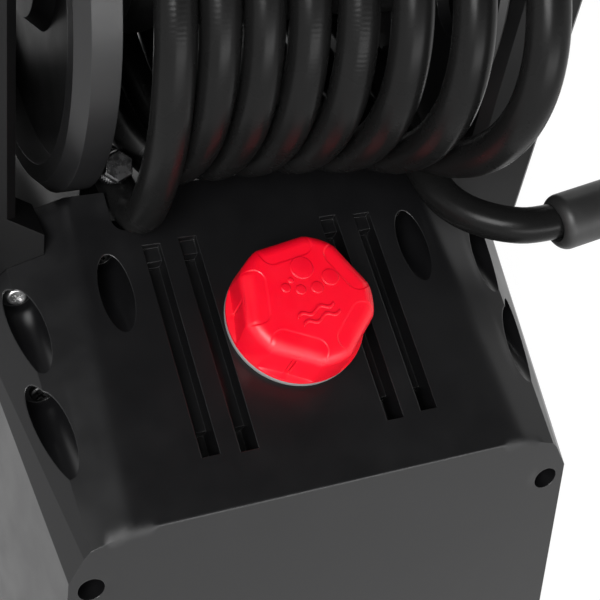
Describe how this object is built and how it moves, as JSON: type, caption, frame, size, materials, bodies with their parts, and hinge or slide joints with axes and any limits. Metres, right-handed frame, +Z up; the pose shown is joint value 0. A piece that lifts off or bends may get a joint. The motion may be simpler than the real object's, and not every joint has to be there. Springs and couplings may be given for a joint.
{
  "type": "pressure washer",
  "caption": "Upright electric pressure washer: black housing with sloped slotted deck, red soap cap, hose wound on a reel between two arms, wheels and telescopic handle.",
  "frame": {"origin": "on the ground, under the middle of the machine's box without the hose", "axes": "+X to the right as seen from the front, +Y to the back, +Z up"},
  "size_m": [0.3801, 0.35, 0.4591],
  "materials": {
    "housing": "fine-grained matte black",
    "cap": "satin signal red",
    "gasket": "matte grey",
    "tank": "milky natural",
    "hose": "smooth satin black",
    "sleeve": "matte black",
    "nut": "dark knurled",
    "brass": "turned",
    "steel": "brushed",
    "aluminium": "satin",
    "motor": "dark enamel",
    "reel": "satin black",
    "bush": "grey acetal",
    "tyre": "matte tread",
    "hub": "satin black",
    "rubber": "matte black",
    "grip": "soft-touch black",
    "gun": "satin black"
  },
  "bodies": {
    "chassis": {"front_housing": "housing", "housing_screws": "steel", "rear_housing": "housing", "base_tray": "housing", "left_foot": "rubber", "right_foot": "rubber", "left_arm": "housing", "right_arm": "housing", "left_arm_cover": "housing", "right_arm_cover": "housing", "soap_tank": "tank", "tank_gasket": "gasket", "top_bridge": "housing", "left_bush": "bush", "right_bush": "bush", "hose_coil": "hose", "hose_elbow": "nut", "hose_nut": "nut", "hose_free": "hose", "hose_sleeve": "sleeve", "hose_end_fitting": "brass", "wheel_axle": "steel", "motor_can": "motor", "pump_body": "aluminium", "pump_head": "aluminium", "unloader_valve": "brass", "outlet_tube": "steel", "inlet_tube": "tank", "inlet_fitting": "brass", "cable_gland": "rubber", "gun_holster": "housing"},
    "reel": {"reel_drum": "reel", "hose_core": "hose", "left_flange": "reel", "right_flange": "reel", "reel_axle": "steel", "crank_arm": "reel"},
    "crank_knob_body": {"crank_knob": "reel"},
    "switch": {"switch_knob": "cap"},
    "cap_lifter": {"cap_seal": "gasket"},
    "cap": {"soap_cap": "cap"},
    "left_wheel": {"left_wheel_tyre": "tyre", "left_wheel_hub": "hub"},
    "right_wheel": {"right_wheel_tyre": "tyre", "right_wheel_hub": "hub"},
    "rotor": {"motor_shaft": "steel", "cooling_fan": "hub"},
    "left_stage": {"left_outer_tube": "aluminium"},
    "right_stage": {"right_outer_tube": "aluminium"},
    "handle": {"left_inner_tube": "aluminium", "right_inner_tube": "aluminium", "handle_grip": "grip"},
    "release_button": {"handle_button": "cap"},
    "gun": {"gun_body": "gun", "lance_tube": "steel", "spray_nozzle": "brass"},
    "trigger": {"gun_trigger": "cap"},
    "lock": {"gun_lock": "gasket"}
  },
  "joints": [
    {"name": "reel_spin", "type": "hinge", "parent": "chassis", "child": "reel", "pos_m": [0, 0.043, 0.272], "axis": [1, 0, 0], "continuous": true},
    {"name": "crank_knob_spin", "type": "hinge", "parent": "reel", "child": "crank_knob_body", "pos_m": [-0.155, 0.043, 0.334], "axis": [1, 0, 0], "continuous": true},
    {"name": "switch_turn", "type": "hinge", "parent": "chassis", "child": "switch", "pos_m": [0, 0.03, 0.413], "axis": [0, -1, 0], "range_deg": [0, 90]},
    {"name": "cap_lift", "type": "slide", "parent": "chassis", "child": "cap_lifter", "axis": [0, -0.3949, 0.9187], "range_m": [0, 0.008]},
    {"name": "cap_turn", "type": "hinge", "parent": "cap_lifter", "child": "cap", "pos_m": [0, -0.08861, 0.1773], "axis": [0, -0.3949, 0.9187], "range_deg": [0, 720]},
    {"name": "left_wheel_spin", "type": "hinge", "parent": "chassis", "child": "left_wheel", "pos_m": [-0.1195, 0.095, 0.08], "axis": [1, 0, 0], "continuous": true},
    {"name": "right_wheel_spin", "type": "hinge", "parent": "chassis", "child": "right_wheel", "pos_m": [0.1195, 0.095, 0.08], "axis": [1, 0, 0], "continuous": true},
    {"name": "rotor_spin", "type": "hinge", "parent": "chassis", "child": "rotor", "pos_m": [-0.036, 0.02, 0.098], "axis": [1, 0, 0], "continuous": true},
    {"name": "left_stage_slide", "type": "slide", "parent": "chassis", "child": "left_stage", "axis": [0, 0, 1], "range_m": [0, 0.165]},
    {"name": "right_stage_slide", "type": "slide", "parent": "chassis", "child": "right_stage", "axis": [0, 0, 1], "range_m": [0, 0.165]},
    {"name": "handle_slide", "type": "slide", "parent": "left_stage", "child": "handle", "axis": [0, 0, 1], "range_m": [0, 0.16]},
    {"name": "button_press", "type": "slide", "parent": "handle", "child": "release_button", "axis": [0, 0, -1], "range_m": [0, 0.004], "stiffness_N_per_m": 800},
    {"name": "gun_take", "type": "slide", "parent": "chassis", "child": "gun", "axis": [1, 0, 0], "range_m": [0, 0.06]},
    {"name": "trigger_squeeze", "type": "hinge", "parent": "gun", "child": "trigger", "pos_m": [0.15, 0.084, 0.366], "axis": [1, 0, 0], "range_deg": [0, 10], "stiffness_Nm_per_rad": 1.5},
    {"name": "lock_slide", "type": "slide", "parent": "gun", "child": "lock", "axis": [0, -1, 0], "range_m": [0, 0.006]}
  ],
  "couplings": [
    {"joint": "cap_lift", "follows": "cap_turn", "m_per_rad": 0.000636},
    {"joint": "right_stage_slide", "follows": "left_stage_slide", "ratio": 1}
  ]
}
